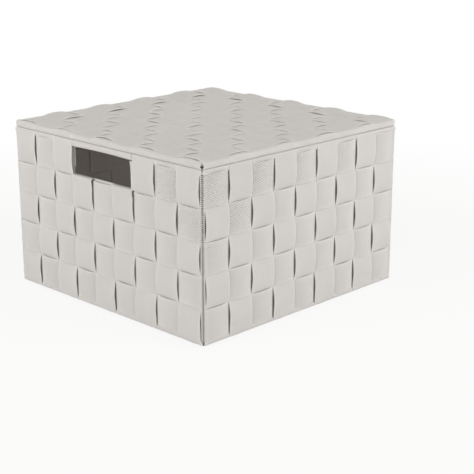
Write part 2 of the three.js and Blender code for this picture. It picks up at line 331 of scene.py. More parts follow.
def section():
    """A strap's cross-section as shares: along the width, of the edge's round, of thickness.

    The outer face runs from one edge to the other, each edge is half a circle, and the inner
    face runs back.
    """
    face = np.sin(np.linspace(-0.5, 0.5, FACE_STEPS) * np.pi)
    turn = np.linspace(0.5, -0.5, EDGE_STEPS + 2)[1:-1] * np.pi
    back = np.linspace(1, -1, BACK_STEPS)
    width = np.concatenate([face, np.ones(EDGE_STEPS), back, -np.ones(EDGE_STEPS)])
    round_ = np.concatenate([
        np.zeros(FACE_STEPS), np.cos(turn), np.zeros(BACK_STEPS), -np.cos(turn),
    ])
    depth = np.concatenate([
        np.ones(FACE_STEPS), np.sin(turn), -np.ones(BACK_STEPS), -np.sin(turn),
    ])
    return width, round_, depth


def grid_mesh(name, points, uv, closed, attributes=None):
    """A mesh from rings of points, joined into a tube, with its ends capped unless closed.

    points is (rings, points in a ring, 3), and uv the same with 2. Quads join each point to
    its neighbours in its ring and in the next. attributes holds a value for each point.
    """
    rings, around = points.shape[:2]
    ring = np.arange(rings if closed else rings - 1)[:, None]
    here, beyond = ring * around, (ring + 1) % rings * around
    place = np.arange(around)
    beside = (place + 1) % around
    quads = np.stack([here + place, here + beside, beyond + beside, beyond + place], axis=-1)
    quads = quads.reshape(-1, 4)
    co = points.reshape(-1, 3)
    corner = co[quads]
    sweep = np.cross(corner[:, 1] - corner[:, 0], corner[:, 2] - corner[:, 0])
    sweep += np.cross(corner[:, 2] - corner[:, 0], corner[:, 3] - corner[:, 0])
    inside_out = np.sum(corner.mean(axis=1) * sweep) < 0
    if inside_out:
        quads = quads[:, ::-1]
    loops = [quads.ravel()]
    starts = np.arange(len(quads)) * 4
    totals = np.full(len(quads), 4)
    if not closed:
        first, last = place, (rings - 1) * around + place
        loops += [first, last[::-1]] if inside_out else [first[::-1], last]
        starts = np.append(starts, [len(quads) * 4, len(quads) * 4 + around])
        totals = np.append(totals, [around, around])
    loops = np.concatenate(loops)
    mesh = bpy.data.meshes.new(name)
    mesh.vertices.add(len(co))
    mesh.vertices.foreach_set("co", co.ravel())
    mesh.loops.add(len(loops))
    mesh.loops.foreach_set("vertex_index", loops)
    mesh.polygons.add(len(starts))
    mesh.polygons.foreach_set("loop_start", starts)
    mesh.polygons.foreach_set("loop_total", totals)
    mesh.polygons.foreach_set("use_smooth", totals == 4)
    mesh.update()
    layer = mesh.uv_layers.new(name=UV_NAME)
    layer.uv.foreach_set("vector", uv.reshape(-1, 2)[loops].ravel())
    for key, value in (attributes or {}).items():
        attribute = mesh.attributes.new(key, "FLOAT", "POINT")
        attribute.data.foreach_set("value", np.broadcast_to(value, (rings, around)).ravel())
    mesh.validate()
    return mesh


def strap_mesh(name, path, place, low, high, lift, sizes, closed=False, crease=None):
    """A strap: a line in its plane carried from one edge to the other.

    path is the middle line. low and high are the edges' places across the plane at each
    point. lift gives the extra height of the surface as a function of the share of the
    width. place turns (along, up, across) into a point.
    """
    width, round_, depth = section()
    half_t = sizes.thickness / 2
    normal = outward(path)
    if closed:
        normal = outward(np.concatenate([path[-1:], path, path[:1]]))[1:-1]
    across = (
        low[:, None] * (1 - width) / 2 + high[:, None] * (1 + width) / 2
        + half_t * (round_ - width)[None, :]
    )
    out = half_t * depth[None, :] + lift(width[None, :])
    flat = path[:, None, :] + normal[:, None, :] * out[:, :, None]
    points = place(flat[..., 0], flat[..., 1], across)
    along = travelled(path)
    uv = np.stack([np.broadcast_to(along[:, None], across.shape), across], axis=-1)
    attributes = {"Edge": np.abs(width[None, :]) ** EDGE_POWER}
    # The crease's mask, which the material uses to paint shade into the fold.
    if crease is not None:
        attributes["Crease"] = crease[:, None]
    return grid_mesh(name, points, uv, closed, attributes)


def stand_x(along, up, across):
    """For a line in an upright plane along X, with the strap's width along Y."""
    return np.stack([along, across, up], axis=-1)


def stand_y(along, up, across):
    """For a line in an upright plane along Y, with the strap's width along X."""
    return np.stack([across, along, up], axis=-1)


def lie_flat(x, y, across):
    """For a line in a level plane, with the strap's width upright."""
    return np.stack([x, y, across], axis=-1)


STANDING = {"x": stand_x, "y": stand_y}


# Climbing straps. Of two values with signs, one is for a strap that lies outside there.
# Angles are in degrees, and zones are heights unless they say otherwise.

WIRE_GAP = 0.3 * MM  # between a wire and a strap bent round it
SEAM_GAP = 0.10 * MM  # between the lid's roll of strap and the rim's
TIGHT_GAP = 0.015 * MM  # from a strap's edge to the cell's border, where straps touch
TAIL_STEPS = 5
TAIL_LENGTH = 21 * MM
TAIL_IN = 1.2 * MM  # a strap's end lies this far inside the wires' centreline
TAIL_TOP = 7 * MM  # a tail is straight up to this far below the rim wire
INNER_EDGE = RING_HALF - 2.9 * MM  # the outermost straps' outer edges, inside the box
ROLL_STEPS = 30
RIM_ROLL_START = 205
RIM_ROLL_END = {1: 4, -1: -50}
FOOT_STEPS = 12
FOOT_START = {1: -4, -1: 28}
FOOT_END = {1: -90, -1: -112}

SILL_RISE = 1.0 * MM  # the fold under a hole stands this much above the frame's
SILL_TAIL = 4 * MM
SILL_RADIUS = 0.6 * MM
SILL_IN = 1.1 * MM  # the flat crest starts this far outside the tail
SILL_OUT = 1.7 * MM  # and ends this far outside the wires' centreline
SILL_STEPS, CREST_STEPS = 9, 4

MITRE_REACH = 2.4 * MM
MITRE_GAP = 0.1 * MM
ROLL_MITRE = 0.9  # share of the bend's distance that the outermost strap widens by
BASE_MITRE = 0.55
RIM_NOTCH = 0.35  # share that the widening loses on top of the rim
NOTCH_ZONE = (RIM_Z + 0.8 * MM, RIM_Z + 2.4 * MM)
RIM_ZONE = (RIM_Z - 3 * MM, RIM_Z)
TIGHT_ZONE = (RIM_Z - 2.5 * MM, RIM_Z - 0.5 * MM)
BASE_ZONE = 3 * MM  # above the base wire's centreline
BASE_SIDE = RING_HALF - 1 * MM  # a bend round the base wire lies outside this
UNDER_ZONE = 2 * MM  # below the base wire's top
TAIL_ZONE = (TAIL_LENGTH - 3 * MM, TAIL_LENGTH + 2.5 * MM)  # distances from the strap's end

CROWN = 0.16 * MM
CROWN_LEVEL = 0.4  # share of the crown that is taken off all over


def bend_radius(sizes):
    """Of a strap's middle line, where it is bent round a wire with a gap between."""
    return WIRE_RADIUS + WIRE_GAP + sizes.thickness / 2


def roll_radius(sizes):
    """At the rim and the lid, where the two rolls of strap nearly touch each other."""
    return (LID_Z - RIM_Z - SEAM_GAP - sizes.thickness) / 2


def wire_roll(height, start, end, pressed, sizes):
    """The bend of a strap round the rim wire or the lid wire, at its line's positive end."""
    return roll((RING_HALF, height), roll_radius(sizes), start, end, ROLL_STEPS, pressed)


def rim_end(sign, sizes):
    """The strap's end inside the box, and its bend over the rim wire."""
    inner = RING_HALF - TAIL_IN
    tail = line((inner, RIM_Z - TAIL_LENGTH), (inner, RIM_Z - TAIL_TOP), TAIL_STEPS)
    return [tail, wire_roll(RIM_Z, RIM_ROLL_START, RIM_ROLL_END[sign], 1, sizes)]


def handle_end(sign, sizes):
    """The strap's end folded in under a handle hole, over the hoop if it lies outside it."""
    inner = RING_HALF - TAIL_IN
    top = HOLE_FOOT + SILL_RISE - sizes.thickness / 2
    tail = line((inner, HOLE_FOOT - TAIL_LENGTH), (inner, top - SILL_TAIL), TAIL_STEPS)
    if sign < 0:
        centre = (inner + SILL_RADIUS, top - SILL_RADIUS)
        return [tail, arc(centre, SILL_RADIUS, 180, 0, SILL_STEPS)]
    return [tail, line((inner + SILL_IN, top), (RING_HALF + SILL_OUT, top), CREST_STEPS)]


def climbing_side(axis, column, sizes):
    """One side of a climbing strap: its end, the face's wave, and the bend under the base."""
    first_row = 1 if axis == "y" and column in HANDLE_COLUMNS else 0
    place = cells(first_row + RUN_INSET, ROWS - RUN_INSET)
    out = side_out(place, climbing_sign(axis, column, 0), sizes)
    face = np.stack([RING_HALF + out, FACE_TOP - place * ROW_PITCH], axis=1)
    end = handle_end if first_row else rim_end
    start = end(climbing_sign(axis, column, first_row), sizes)
    leaving = FOOT_START[climbing_sign(axis, column, ROWS - 1)]
    arriving = FOOT_END[panel_sign(axis, column)]
    foot = arc((RING_HALF, BASE_Z), bend_radius(sizes), leaving, arriving, FOOT_STEPS)
    return [*start, face, foot]


def underside_run(sign, sizes):
    """The wave across the underside, whose lowest cells stand on the ground."""
    place = cells(RUN_INSET, COLUMNS - RUN_INSET)
    height = sizes.thickness / 2 + sizes.underside_relief
    height = height - sizes.underside_relief * sign * wave(place)
    return np.stack([from_middle(place, sizes), height], axis=1)


def panel_edge(sizes):
    """Where the outermost strap's outer edge lies, from the box's middle."""
    return MIDDLE * sizes.column_pitch + sizes.climbing_width / 2


def mitre(path, share, sizes):
    """How far the outermost strap widens on the outer side of a bend round a wire.

    Its outer edge follows the bend's distance outside the wire, by the given share, so that
    two sides' straps nearly meet over the corner.
    """
    out = np.clip(np.abs(path[:, 0]) - RING_HALF, 0, MITRE_REACH)
    return RING_HALF - MITRE_GAP + share * out - panel_edge(sizes)


def edges(column, along, wander, outward_shift, tight, sizes):
    """Both edges of a strap, where tight is one where it touches its neighbours.

    Only the outermost straps' outer edges take the shift.
    """
    centre = (column - MIDDLE) * sizes.column_pitch
    half = sizes.climbing_width / 2
    half = half + (sizes.column_pitch / 2 - TIGHT_GAP - half) * tight
    low = centre - half + wander(along) * (1 - tight) - outward_shift * (column == 0)
    high = centre + half + wander(along + FAR_EDGE) * (1 - tight)
    return low, high + outward_shift * (column == COLUMNS - 1)


def climbing_strap(name, axis, column, sizes):
    """A strap that climbs one side, crosses the underside and climbs the other."""
    side = climbing_side(axis, column, sizes)
    near = [part * FLIP for part in side]
    far = [part[::-1] for part in reversed(side)]
    path = joined(*near, underside_run(panel_sign(axis, column), sizes), *far)
    along = travelled(path)
    lean, wander = variation(name)
    reach, height = np.abs(path[:, 0]), path[:, 1]
    inside = 1 - smooth_step(from_end(along), *TAIL_ZONE)
    under_box = smooth_step(BASE_Z + WIRE_RADIUS - height, 0, UNDER_ZONE)
    at_rim = smooth_step(height, *RIM_ZONE) * (1 - inside)
    at_base = smooth_step(-height, -BASE_Z - BASE_ZONE, -BASE_Z) * (reach > BASE_SIDE)
    notch = smooth_step(height, *NOTCH_ZONE)
    shift = mitre(path, ROLL_MITRE - RIM_NOTCH * notch, sizes) * at_rim
    shift = shift + mitre(path, BASE_MITRE, sizes) * at_base
    shift = shift + (INNER_EDGE - panel_edge(sizes)) * inside
    tight = np.maximum(smooth_step(height, *TIGHT_ZONE), inside)
    low, high = edges(column, along, wander, shift, tight, sizes)
    out = reach - RING_HALF - sizes.side_level
    raised = np.clip(out / sizes.side_bulge, -1, 1)[:, None] * (1 - under_box[:, None])
    leaning = lean(along) * (1 - np.maximum(tight, under_box))

    def lift(share):
        return leaning[:, None] * share + CROWN * raised * (share ** 2 - CROWN_LEVEL)

    return strap_mesh(name, path, STANDING[axis], low, high, lift, sizes)


# Hoops. Zones are distances outside the wires' centreline, or along the hoop from its end.

CORNER_OUT = 1.9 * MM  # a hoop's fold lies this far outside the wires' centreline
CORNER_RADIUS = 0.9 * MM
CORNER_STEPS = 15
CORNER_ZONE = (RING_HALF - 5 * MM, RING_HALF + 0.5 * MM)  # distances from the box's middle
CORNER_GAP = 0.08 * MM  # from a hoop's edge to its row's border, at a corner
CORNER_HOLD = 0.8  # share of the edges' wander that is lost at a corner
HOOP_INSET = 0.12  # where the eased curve to a corner takes over, in cells from the end
CREASE_WIDTH = 0.66 * MM
CREASE_REACH = 6 * MM
FADE_POWER = 0.25  # how fast a closed hoop's lean and wander fade, towards where it starts

TOP_RISE = 0.4 * MM  # of the top hoop's upper edge
TOP_CORNER_RISE = 0.95 * MM
TOP_RISE_ZONE = (-0.4 * MM, 0.9 * MM)
TOP_FLARE = 1.05 * MM
TOP_CORNER_FLARE = 0.3 * MM
TOP_HOLD = 0.7  # share of the upper edge's wander that is lost
FOLD_DROP = 2.7 * MM  # of the upper edge beside a handle hole
FOLD_DROP_ZONE = (26 * MM, 38 * MM)
HOOP_CROWN = 0.5 * MM
HOOP_CURVE = 4  # power of the width's share that the crown and the flare follow

FOLD_IN = RING_HALF - 1.5 * MM
FOLD_OUT = RING_HALF + 1.8 * MM
FOLD_TAIL_ENDS = (20 * MM, 1 * MM)  # of a tail's straight part, from the fold's axis
FOLD_TAIL_STEPS, FOLD_STEPS = 6, 13
FOLD_REACH = {"right": 4.0 * MM, "left": -0.9 * MM}  # into the front hole
PINCH = 0.35 * MM  # how far a fold is drawn back in the middle
PINCH_START, PINCH_ZONE = 3 * MM, 4 * MM  # from the fold's axis, towards the side


def hoop_run(quarter, row, first, last, sizes):
    """The hoop's wave along one side, seen as if that side were the front one."""
    axis = "y" if quarter % 2 == 0 else "x"
    place = cells(first, last)
    out = side_out(place, -climbing_sign(axis, 0, row), sizes)
    return np.stack([from_middle(place, sizes), -(RING_HALF + out)], axis=1)


def hoop_corner():
    """The fold round a corner post, at the end of the front side."""
    centre = RING_HALF + CORNER_OUT - CORNER_RADIUS
    return arc((centre, -centre), CORNER_RADIUS, -90, 0, CORNER_STEPS)


def creased(path, sizes):
    """How much each point of a hoop's line belongs to a corner's crease, and the line dented.

    The crease is a bell curve of the distance from the corner's diagonal.
    """
    corner = RING_HALF + CORNER_OUT
    away = np.abs(np.abs(path[:, 0]) - np.abs(path[:, 1])) / math.sqrt(2)
    near = np.exp(-(away / CREASE_WIDTH) ** 2)
    near = near * (np.minimum(np.abs(path[:, 0]), np.abs(path[:, 1])) > corner - CREASE_REACH)
    inward = np.sign(path) / math.sqrt(2)
    return near, path - inward * (near * sizes.crease_depth)[:, None]


def hoop_strap(name, row, path, closed, sizes, pinch=0):
    """A hoop's surface. The top one's upper edge rises and flares a little at the rim."""
    crease, path = creased(path, sizes)
    along = travelled(path)
    lean, wander = variation(name)
    centre = TOP_ROW_Z - row * ROW_PITCH
    half = sizes.hoop_width / 2
    out = np.max(np.abs(path), axis=1) - RING_HALF
    fade = np.sin(np.pi * along / along[-1]) ** FADE_POWER if closed else 1
    top = 1.0 if row == 0 else 0.0
    corner = smooth_step(np.min(np.abs(path), axis=1), *CORNER_ZONE)
    rise = (TOP_RISE + TOP_CORNER_RISE * corner) * smooth_step(out, *TOP_RISE_ZONE) * top
    half = half + (ROW_PITCH / 2 - CORNER_GAP - half) * corner
    loose = (1 - CORNER_HOLD * corner) * fade
    if not closed:
        rise = rise - FOLD_DROP * (1 - smooth_step(from_end(along), *FOLD_DROP_ZONE))
    low = centre - half + wander(along) * loose
    high = centre + half + wander(along + HOOP_FAR_EDGE) * loose * (1 - TOP_HOLD * top) + rise
    raised = np.clip((out - sizes.side_level) / sizes.side_bulge, 0, 1)
    flare = (TOP_CORNER_FLARE * corner + TOP_FLARE * raised * (1 - corner)) * top
    leaning = lean(along) * fade * (1 - crease)
    crown = HOOP_CROWN * raised * (1 - crease)

    def lift(share):
        return (
            leaning[:, None] * share - crown[:, None] * share ** HOOP_CURVE
            + flare[:, None] * np.clip(share, 0, 1) ** HOOP_CURVE
            + pinch * (share ** 2 - CROWN_LEVEL)
        )

    return strap_mesh(name, path, lie_flat, low, high, lift, sizes, closed, crease)


def whole_hoop(name, row, sizes):
    """A hoop all the way round, closed on itself."""
    lines = []
    for quarter in range(4):
        run = hoop_run(quarter, row, HOOP_INSET, COLUMNS - HOOP_INSET, sizes)
        lines += [turned(run, quarter), turned(hoop_corner(), quarter)]
    path = np.concatenate([joined(*lines), ease(lines[-1], lines[0])])
    return hoop_strap(name, row, path, True, sizes)


def split_hoop(name, half, reach, sizes):
    """Half of the top hoop, from one handle hole round a side to the other hole.

    Its folds stand into the holes by the reach, and are drawn back in the middle.
    """
    first = HOLE_END + RUN_INSET
    radius = (FOLD_OUT - FOLD_IN) / 2
    fold_x = from_middle(HOLE_END, sizes) - reach + radius + sizes.thickness / 2
    tail = line(*[(fold_x + end, -FOLD_IN) for end in FOLD_TAIL_ENDS], FOLD_TAIL_STEPS)
    fold = arc((fold_x, -(FOLD_IN + radius)), radius, 90, 270, FOLD_STEPS)
    front = hoop_run(0, 0, first, COLUMNS - HOOP_INSET, sizes)
    side = hoop_run(1, 0, HOOP_INSET, COLUMNS - HOOP_INSET, sizes)
    rear = hoop_run(2, 0, HOOP_INSET, COLUMNS - first, sizes)
    path = joined(
        tail, fold, front, hoop_corner(),
        turned(side, 1), turned(hoop_corner(), 1),
        turned(rear, 2), *[turned(part, 2) for part in mirrored([tail, fold])],
    )
    pinch = PINCH * smooth_step(fold_x + PINCH_START - path[:, 0], 0, PINCH_ZONE)[:, None]
    return hoop_strap(name, 0, turned(path, 2 * half), False, sizes, pinch)


# Lid straps. The tails of the two directions lie at two levels. Zones are heights.

LID_TAIL_ENDS = (22 * MM, 6 * MM)  # of a tail's straight part, inside the lid wire's centreline
LID_TAIL_DROP = {"x": 1.2 * MM, "y": 2.3 * MM}  # below the lid wire's centreline
LID_ROLL_START = {"x": -112, "y": -94}
LID_ROLL_END = {1: 86, -1: 112}
LID_RISE_ZONE = (MIDDLE - 0.6, MIDDLE + 0.1)  # in cells from the middle
LID_EDGE_ZONE = (RING_HALF - 4 * MM, RING_HALF)  # distances from the box's middle
LID_BELOW_ZONE = (0.5 * MM, 2 * MM)  # below the lid wire's centreline
LID_INSIDE_START = RING_HALF + 0.5 * MM
LID_INSIDE_ZONE = 3 * MM
LID_GAP = 0.85  # share that the widening loses at the corner's gap
LID_GAP_DROP = 0.6 * MM  # the gap's middle is this far below the lid wire's centreline
LID_GAP_HALF = 3.1 * MM
LID_CROWN = 0.12 * MM
HIDDEN_INSET = 8 * MM
HUMP_EXTRA = 0.15 * MM  # a bend under a lifted edge is lifted by this much more
HUMP_ZONE = (LID_Z + 1.0 * MM, LID_Z + 2.2 * MM)
HUMP_FALL = 0.95  # share of the hump that is lost at the strap's edge


def lid_run(sign, column, sizes):
    """The wave across the lid. The crossing level is a little higher in its outermost cells."""
    place = cells(RUN_INSET, COLUMNS - RUN_INSET)
    rim_cell = smooth_step(np.abs(place - COLUMNS / 2), *LID_RISE_ZONE)
    if column in (0, COLUMNS - 1):
        rim_cell = np.ones(len(place))
    out = sizes.lid_level + sizes.lid_rise * rim_cell
    out = out + sizes.lid_relief * sign * wave(place, 0)
    return np.stack([from_middle(place, sizes), LID_Z + out], axis=1)


def lid_strap(name, axis, column, sizes):
    """A strap across the lid, bent round the lid wire with its ends turned in below.

    The outermost straps' outer edges stand up where they lie on top, by the square of the
    distance past the first quarter of the width. Bends that pass under those edges have a
    hump, which meets them.
    """
    sign = panel_sign(axis, column)
    tail_z = LID_Z - LID_TAIL_DROP[axis]
    tail = line(*[(RING_HALF - end, tail_z) for end in LID_TAIL_ENDS], TAIL_STEPS)
    bend = wire_roll(LID_Z, LID_ROLL_START[axis], LID_ROLL_END[sign], -1, sizes)
    path = joined(tail, bend, lid_run(sign, column, sizes)[::-1], *mirrored([tail, bend]))
    along = travelled(path)
    lean, wander = variation(name)
    reach, height = np.abs(path[:, 0]), path[:, 1]
    edge = smooth_step(reach, *LID_EDGE_ZONE)
    below = smooth_step(LID_Z - height, *LID_BELOW_ZONE)
    below = below * smooth_step(LID_INSIDE_START - reach, 0, LID_INSIDE_ZONE)
    gap = np.clip(1 - np.abs(height - LID_Z + LID_GAP_DROP) / LID_GAP_HALF, 0, 1)
    shift = mitre(path, ROLL_MITRE - LID_GAP * gap, sizes) * edge * (1 - below)
    shift = shift + (INNER_EDGE - panel_edge(sizes)) * below
    out = (height - LID_Z - sizes.lid_level) / sizes.lid_relief
    shift = shift - WIRE_RADIUS * np.clip(-out, 0, 1) * (reach < RING_HALF - HIDDEN_INSET)
    low, high = edges(column, along, wander, shift, edge * (1 - below), sizes)
    raised = (np.clip(out, -1, 1) * (height > LID_Z))[:, None]
    outer = (column == COLUMNS - 1) - 1.0 * (column == 0)
    lifted = sizes.rim_lift * np.clip(raised, 0, 1) * abs(outer)
    hump = (sizes.rim_lift + HUMP_EXTRA) * edge * (sign < 0)
    hump = hump * smooth_step(height, *HUMP_ZONE)
    leaning = lean(along) * (1 - np.maximum(edge, below))

    def lift(share):
        return (
            leaning[:, None] * share + LID_CROWN * raised * (share ** 2 - 1)
            + lifted * np.clip((1 + 2 * outer * share) / 3, 0, 1) ** 2
            + hump[:, None] * np.clip(1 - outer * share, 0, 1) * (1 - HUMP_FALL * share ** 2)
        )

    return strap_mesh(name, path, STANDING[axis], low, high, lift, sizes)


# Handle wraps and keepers

WRAP_START = 200  # in degrees
WRAP_TURNS = 1.14
WRAP_STEPS = 64
WRAP_LENGTHS = 25
WRAP_GAP = 0.05 * MM  # between the lap and what it lies on, and at the wrap's ends
LAP_ZONE = (0.9, 1.02)  # in turns
WRAP_SAG = 0.8 * MM
SAG_ZONE = (-1 * MM, 2.5 * MM)  # below the rim wire's centreline

KEEPER_HALF = 6 * MM
FLANGE_STEPS = 4
FLANGE_ENDS = (6 * MM, 1.2 * MM)  # inside the hook
HOOK_START, HOOK_END = 190, 360  # in degrees
HOOK_STEPS = 14


def handle_wrap(name, side, sizes):
    """A strap rolled lengthwise round the rim wire, lapped inside and fuller at its ends.

    The roll's radius grows over its last part, so that it lies on its own start.
    """
    turn = np.linspace(0, WRAP_TURNS, WRAP_STEPS)
    radius = roll_radius(sizes) + (sizes.thickness + WRAP_GAP) * smooth_step(turn, *LAP_ZONE)
    finish = WRAP_START - WRAP_TURNS * 360
    path = roll((RING_HALF, RIM_Z), radius[:, None], WRAP_START, finish, WRAP_STEPS, 1)
    path = path * np.array([side, 1])
    if side > 0:
        path = path[::-1]
    end = from_middle(HOLE_END, sizes) - WRAP_GAP
    across = np.linspace(-end, end, WRAP_LENGTHS)
    half = outward(path) * sizes.thickness / 2
    ring = np.concatenate([path + half, (path - half)[::-1]])
    sag = WRAP_SAG * (across / end) ** 2
    below = smooth_step(RIM_Z - ring[:, 1], *SAG_ZONE)
    points = np.stack(np.broadcast_arrays(
        across[:, None], ring[None, :, 0], ring[None, :, 1] - sag[:, None] * below[None, :],
    ), axis=-1)
    round_ = np.concatenate([travelled(path), travelled(path)[::-1]])
    uv = np.stack(np.broadcast_arrays(across[:, None], round_[None, :]), axis=-1)
    return grid_mesh(name, points, uv, False)


def keeper(name, quarter, sizes):
    """A short strap hooked under the locating wire, with a flange stitched to the lid."""
    drop = LID_TAIL_DROP["xy"[quarter % 2]]
    flange_z = LID_Z - drop - sizes.thickness - WIRE_GAP
    radius = LOCATING_RADIUS + WIRE_GAP + sizes.thickness / 2
    flange = line(*[(LOCATING_HALF - radius - end, flange_z) for end in FLANGE_ENDS], FLANGE_STEPS)
    hook = arc((LOCATING_HALF, LOCATING_Z), radius, HOOK_START, HOOK_END, HOOK_STEPS)
    path = joined(flange, hook)
    half = np.full(len(path), KEEPER_HALF)

    def place(along, up, across):
        points = stand_x(along, up, across)
        points[..., :2] = turned(points[..., :2], quarter)
        return points

    return strap_mesh(name, path, place, -half, half, lambda share: 0, sizes)


# Wires

WIRE_SIDES = 20
FRAME_BEND = 2.5 * MM
LOCATING_BEND = 12 * MM
RING_STEPS = 60
BEND_STEPS = 13
BEAD_HALF = 1.8 * MM
BEAD_SWELL = 0.14  # share of the wire's radius
WELD_HALF = 0.9 * MM
WELD_SWELL = 0.18
WELD_ZONE = 3 * MM  # with closer points, at a post's ends
POST_INSET = 8 * MM
WELD_STEPS, POST_STEPS = 9, 20


def wire_mesh(name, path, radius, closed):
    """A round wire: a circle carried along a level or an upright line of 3-D points."""
    heading = np.gradient(path, axis=0)
    if closed:
        heading = np.roll(path, -1, axis=0) - np.roll(path, 1, axis=0)
    heading /= np.linalg.norm(heading, axis=1)[:, None]
    upright = np.abs(heading[:, 2:]) > 0.5
    up = np.where(upright, np.array([[1.0, 0, 0]]), np.array([[0, 0, 1.0]]))
    beside = np.cross(heading, up)
    angle = np.linspace(0, 2 * np.pi, WIRE_SIDES, endpoint=False)
    ring = (
        beside[:, None, :] * np.cos(angle)[None, :, None]
        + up[:, None, :] * np.sin(angle)[None, :, None]
    )
    points = path[:, None, :] + ring * radius[:, None, None]
    around = angle * radius.mean()
    uv = np.stack(np.broadcast_arrays(travelled(path)[:, None], around[None, :]), axis=-1)
    return grid_mesh(name, points, uv, closed)


def ring_wire(name, half, bend, height, radius):
    """A wire bent into a square, with a small weld bead in the middle of the rear side."""
    centre = half - bend
    lines = []
    for quarter in range(4):
        corner = arc((centre, -centre), bend, -90, 0, BEND_STEPS)
        straight = line((half, -centre), (half, centre), RING_STEPS)[1:-1]
        lines += [turned(corner, quarter), turned(straight, quarter)]
    flat = np.concatenate(lines)
    path = np.column_stack([flat, np.full(len(flat), height)])
    bead = np.exp(-(flat[:, 0] / BEAD_HALF) ** 2) * (flat[:, 1] > 0)
    return wire_mesh(name, path, radius * (1 + BEAD_SWELL * bead), True)


def post_wire(name, node):
    """A corner post, spread by its welds at both ends."""
    low, high = span(node)
    x, y = (low + high)[:2] / 2
    z = np.concatenate([
        np.linspace(low[2], low[2] + WELD_ZONE, WELD_STEPS),
        np.linspace(low[2] + POST_INSET, high[2] - POST_INSET, POST_STEPS),
        np.linspace(high[2] - WELD_ZONE, high[2], WELD_STEPS),
    ])
    end = np.minimum(z - low[2], high[2] - z)
    radius = WIRE_RADIUS * (1 + WELD_SWELL * np.exp(-(end / WELD_HALF) ** 2))
    path = np.column_stack([np.full(len(z), x), np.full(len(z), y), z])
    return wire_mesh(name, path, radius, False)


# Materials


class Nodes:
    """The nodes of a material or a world, added one call at a time."""

    def __init__(self, owner):
        owner.use_nodes = True
        self.tree = owner.node_tree
        self.tree.nodes.clear()

    def add(self, kind, inputs, **settings):
        """Adds a node, with its inputs linked or set by name or number, and gives its outputs."""
        node = self.tree.nodes.new(kind)
        for key, value in settings.items():
            setattr(node, key, value)
        for key, value in inputs.items():
            if isinstance(value, bpy.types.NodeSocket):
                self.tree.links.new(value, node.inputs[key])
            else:
                node.inputs[key].default_value = value
        return node.outputs

    def math(self, operation, *values):
        return self.add("ShaderNodeMath", dict(enumerate(values)), operation=operation)[0]

    def scaled(self, value, factor):
        return self.math("MULTIPLY", value, factor)

    def lattice(self, first, second):
        """The product of two cosines."""
        return self.math("MULTIPLY", self.math("COSINE", first), self.math("COSINE", second))

    def colours(self, factor, first, second):
        return self.add("ShaderNodeMix", {0: factor, 6: first, 7: second}, data_type="RGBA")[2]

    def split(self, vector):
        return self.add("ShaderNodeSeparateXYZ", {0: vector})

    def strap_map(self):
        return self.add("ShaderNodeUVMap", {}, uv_map=UV_NAME)[0]

    def own_place(self):
        return self.add("ShaderNodeTexCoord", {})["Object"]

    def attribute(self, name):
        return self.add("ShaderNodeAttribute", {}, attribute_name=name)["Fac"]

    def noise(self, vector, scale, detail=3):
        inputs = {"Vector": vector, "Scale": scale, "Detail": detail}
        return self.add("ShaderNodeTexNoise", inputs)["Fac"]

    def fibres(self, vector, scale):
        """A noise stretched into lines by unequal scales."""
        stretched = self.add("ShaderNodeMapping", {"Vector": vector, "Scale": scale})[0]
        return self.noise(stretched, 1.0)

    def bump(self, height, distance):
        return self.add("ShaderNodeBump", {"Height": height, "Distance": distance})[0]

    def blended(self, share, first, second):
        return self.add("ShaderNodeMixShader", {0: share, 1: first, 2: second})[0]

    def seen_directly(self):
        """One for camera, glossy and transmission rays, and nought for the light itself."""
        path = self.add("ShaderNodeLightPath", {})
        gloss = self.math("MAXIMUM", path["Is Glossy Ray"], path["Is Transmission Ray"])
        return self.math("MAXIMUM", path["Is Camera Ray"], gloss)


def rgba(colour, factor=1.0):
    return (colour[0] * factor, colour[1] * factor, colour[2] * factor, 1.0)


DOT_LENGTH = 1.6 * MM
DOT_WIDTH = 0.95 * MM
DOT_SLOPES = (10, -10, 30)  # how the dots grow along X, Y and Z, per metre
DOT_LEVEL = 5.45  # what the slopes have to pass before the dots are clear
DOT_RANGE = (0.15, 1.7)
PATCHINESS = 3  # strength of the noise that is added to the slopes
SPECK_STRENGTH, SPECK_LEVEL = 5, 1.5
RIB_PITCH = 1.5 * MM
RIB_SHARE = 0.6
YARNS = 4  # in one repeat of the dots
PATCH_SCALE, SPECK_SCALE, MOTTLE_SCALE, TONE_SCALE, WEAR_AND_HIGHLIGHT_SCALE = 24, 420, 45, 9, 160  # per metre
FIBRE_SCALES = (90, 2600, 1)  # along the fibres, across them, and through the strap
LENGTHWISE = 0.6  # share of the fibres that run along the strap
MOTTLE, TONE, FIBRES, KNOTS = 0.12, 0.15, 0.12, 0.05  # shares of the colour's range
# Paleness of the strap's edges: partly worn, partly a painted highlight.
EDGE_WEAR_AND_HIGHLIGHT = 0.3
COLOUR_RANGE = (0.8, 1.2)
CREASE_SHADE_RIBS, CREASE_SHADE = 0.6, 0.66  # how far painted shade darkens a crease, on its ribs and all over
FIBRE_RELIEF, DOT_RELIEF, RIB_RELIEF = 0.5, 4, 1.5
STRAP_BUMP = 0.07 * MM
STRAP_ROUGHNESS = (0.16, 0.56)  # from the mottling, and at least
STRAP_GLOSS = 0.24
SCATTER_DEPTH = 0.6 * MM
SCATTER_SHARES = (1.0, 0.95, 0.88)  # of that depth, for red, green and blue light
CLIMBING_WEAVE = (0.25, 0.05)  # height of the knots, and strength of the dots
HOOP_WEAVE = (0.4, 0.45)


